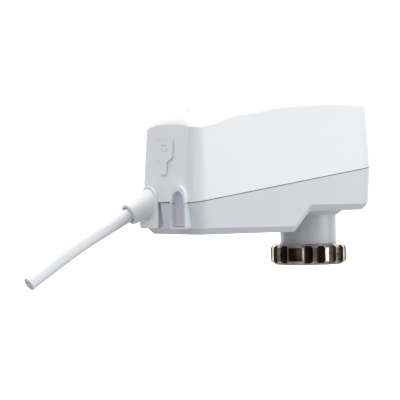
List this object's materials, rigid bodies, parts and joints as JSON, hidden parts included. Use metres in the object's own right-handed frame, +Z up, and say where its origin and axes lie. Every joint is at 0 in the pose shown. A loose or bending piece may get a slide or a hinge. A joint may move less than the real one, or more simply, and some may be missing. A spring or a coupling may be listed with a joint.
{
  "type": "motorised valve actuator head",
  "caption": "Motorised actuator head for a heating valve: wedge-shaped two-part case with gear motor, sliding spindle, union nut and angled cable.",
  "frame": {"origin": "on the axis of the union nut, in its lower face, where the thread of the valve enters", "axes": "+Z up along the nut axis towards the case, +X towards the valve end of the case, -X towards the cable"},
  "size_m": [0.1693, 0.0498, 0.0867],
  "materials": {
    "cover_plastic": "fine satin, signal white moulded plastic",
    "base_plastic": "fine satin, light grey moulded plastic",
    "sleeve_plastic": "satin glass-filled grey plastic",
    "boot_plastic": "soft white plastic",
    "cable_sheath": "smooth white sheath",
    "core_copper": "cut copper",
    "seal_rubber": "matt black rubber",
    "nut_metal": "nickel plated, turned and fluted",
    "spring_steel": "dark spring steel",
    "steel": "bright zinc plated",
    "zinc_plate": "pressed zinc plated sheet",
    "brass": "turned brass",
    "gear_brass": "cut brass",
    "gear_plastic": "natural acetal",
    "board_green": "solder resist over glass laminate",
    "capacitor_sleeve": "shrink sleeve",
    "chip_black": "moulded epoxy",
    "lamp_lens": "tinted clear lens",
    "terminal_plastic": "green terminal housing",
    "switch_red": "red switch housing",
    "slider_white": "white slider",
    "lead_sheath": "thin lead insulation"
  },
  "bodies": {
    "housing": {"arbor_2": "steel", "arbor_3": "steel", "blanking_plate": "base_plastic", "board_screws": "steel", "board_standoffs": "brass", "cable": "cable_sheath", "cable_boot": "boot_plastic", "cable_cores": "core_copper", "circuit_board": "board_green", "control_chip": "chip_black", "cover_screws": "steel", "dip_switch_body": "switch_red", "gearbox_base_plate": "zinc_plate", "gearbox_pillars": "brass", "gearbox_screws": "steel", "gearbox_top_plate": "zinc_plate", "housing_gasket": "seal_rubber", "lower_housing": "base_plastic", "motor_can": "zinc_plate", "motor_end_plate": "zinc_plate", "motor_screws": "steel", "neck_screws": "steel", "neck_sleeve": "sleeve_plastic", "retaining_ring": "spring_steel", "status_lamp": "lamp_lens", "supply_capacitor": "capacitor_sleeve", "supply_leads": "lead_sheath", "terminal_block": "terminal_plastic", "terminal_screws": "steel", "thrust_race_upper": "steel"},
    "cover": {"upper_cover": "cover_plastic"},
    "plug": {"override_plug": "cover_plastic", "plug_seal": "seal_rubber"},
    "nut_washer": {"slip_washer": "steel"},
    "nut": {"union_nut": "nut_metal"},
    "drive": {"drive_gear": "gear_plastic", "thrust_race_lower": "steel"},
    "ball_cage": {"thrust_cage": "brass", "thrust_balls": "steel"},
    "spindle": {"spindle": "brass", "spindle_pusher": "steel"},
    "gear_3": {"compound_gear_3": "gear_plastic"},
    "gear_2": {"compound_gear_2": "gear_plastic"},
    "gear_1": {"compound_gear_1": "gear_brass", "override_shaft": "steel"},
    "rotor": {"motor_shaft": "steel", "motor_pinion": "brass"},
    "slider_1": {"dip_slider_1": "slider_white"},
    "slider_2": {"dip_slider_2": "slider_white"},
    "slider_3": {"dip_slider_3": "slider_white"},
    "slider_4": {"dip_slider_4": "slider_white"}
  },
  "joints": [
    {"name": "cover_lift", "type": "slide", "parent": "housing", "child": "cover", "axis": [0, 0, 1], "range_m": [0, 0.06]},
    {"name": "plug_pull", "type": "slide", "parent": "cover", "child": "plug", "axis": [0, 0, 1], "range_m": [0, 0.008]},
    {"name": "nut_slide", "type": "slide", "parent": "housing", "child": "nut_washer", "axis": [0, 0, 1], "range_m": [0, 0.011]},
    {"name": "nut_spin", "type": "hinge", "parent": "nut_washer", "child": "nut", "pos_m": [0, 0, 0.005], "axis": [0, 0, 1], "continuous": true},
    {"name": "drive_turn", "type": "hinge", "parent": "housing", "child": "drive", "pos_m": [0, 0, 0.045], "axis": [0, 0, 1], "range_deg": [0, 828]},
    {"name": "spindle_slide", "type": "slide", "parent": "housing", "child": "spindle", "axis": [0, 0, -1], "range_m": [0, 0.00691]},
    {"name": "ball_cage_turn", "type": "hinge", "parent": "housing", "child": "ball_cage", "pos_m": [0, 0, 0.045], "axis": [0, 0, 1], "range_deg": [0, 414.25]},
    {"name": "gear_3_turn", "type": "hinge", "parent": "housing", "child": "gear_3", "pos_m": [-0.024, 0, 0.045], "axis": [0, 0, 1], "range_deg": [-2485.5, 0]},
    {"name": "gear_2_turn", "type": "hinge", "parent": "housing", "child": "gear_2", "pos_m": [-0.04518, 0.001, 0.045], "axis": [0, 0, 1], "range_deg": [0, 8492.12]},
    {"name": "gear_1_turn", "type": "hinge", "parent": "housing", "child": "gear_1", "pos_m": [-0.0644, 0, 0.045], "axis": [0, 0, 1], "range_deg": [-30430.12, 0]},
    {"name": "motor_turn", "type": "hinge", "parent": "housing", "child": "rotor", "pos_m": [-0.05295, -0.00715, 0.045], "axis": [0, 0, 1], "range_deg": [0, 133892.5]},
    {"name": "slider_1_slide", "type": "slide", "parent": "housing", "child": "slider_1", "axis": [0, 1, 0], "range_m": [0, 0.0018]},
    {"name": "slider_2_slide", "type": "slide", "parent": "housing", "child": "slider_2", "axis": [0, 1, 0], "range_m": [0, 0.0018]},
    {"name": "slider_3_slide", "type": "slide", "parent": "housing", "child": "slider_3", "axis": [0, 1, 0], "range_m": [0, 0.0018]},
    {"name": "slider_4_slide", "type": "slide", "parent": "housing", "child": "slider_4", "axis": [0, 1, 0], "range_m": [0, 0.0018]}
  ],
  "couplings": [
    {"joint": "spindle_slide", "follows": "drive_turn", "m_per_rad": 0.00047746},
    {"joint": "ball_cage_turn", "follows": "drive_turn", "ratio": 0.5},
    {"joint": "gear_3_turn", "follows": "drive_turn", "ratio": -3},
    {"joint": "gear_2_turn", "follows": "drive_turn", "ratio": 10.25},
    {"joint": "gear_1_turn", "follows": "drive_turn", "ratio": -36.729},
    {"joint": "motor_turn", "follows": "drive_turn", "ratio": 161.61}
  ]
}
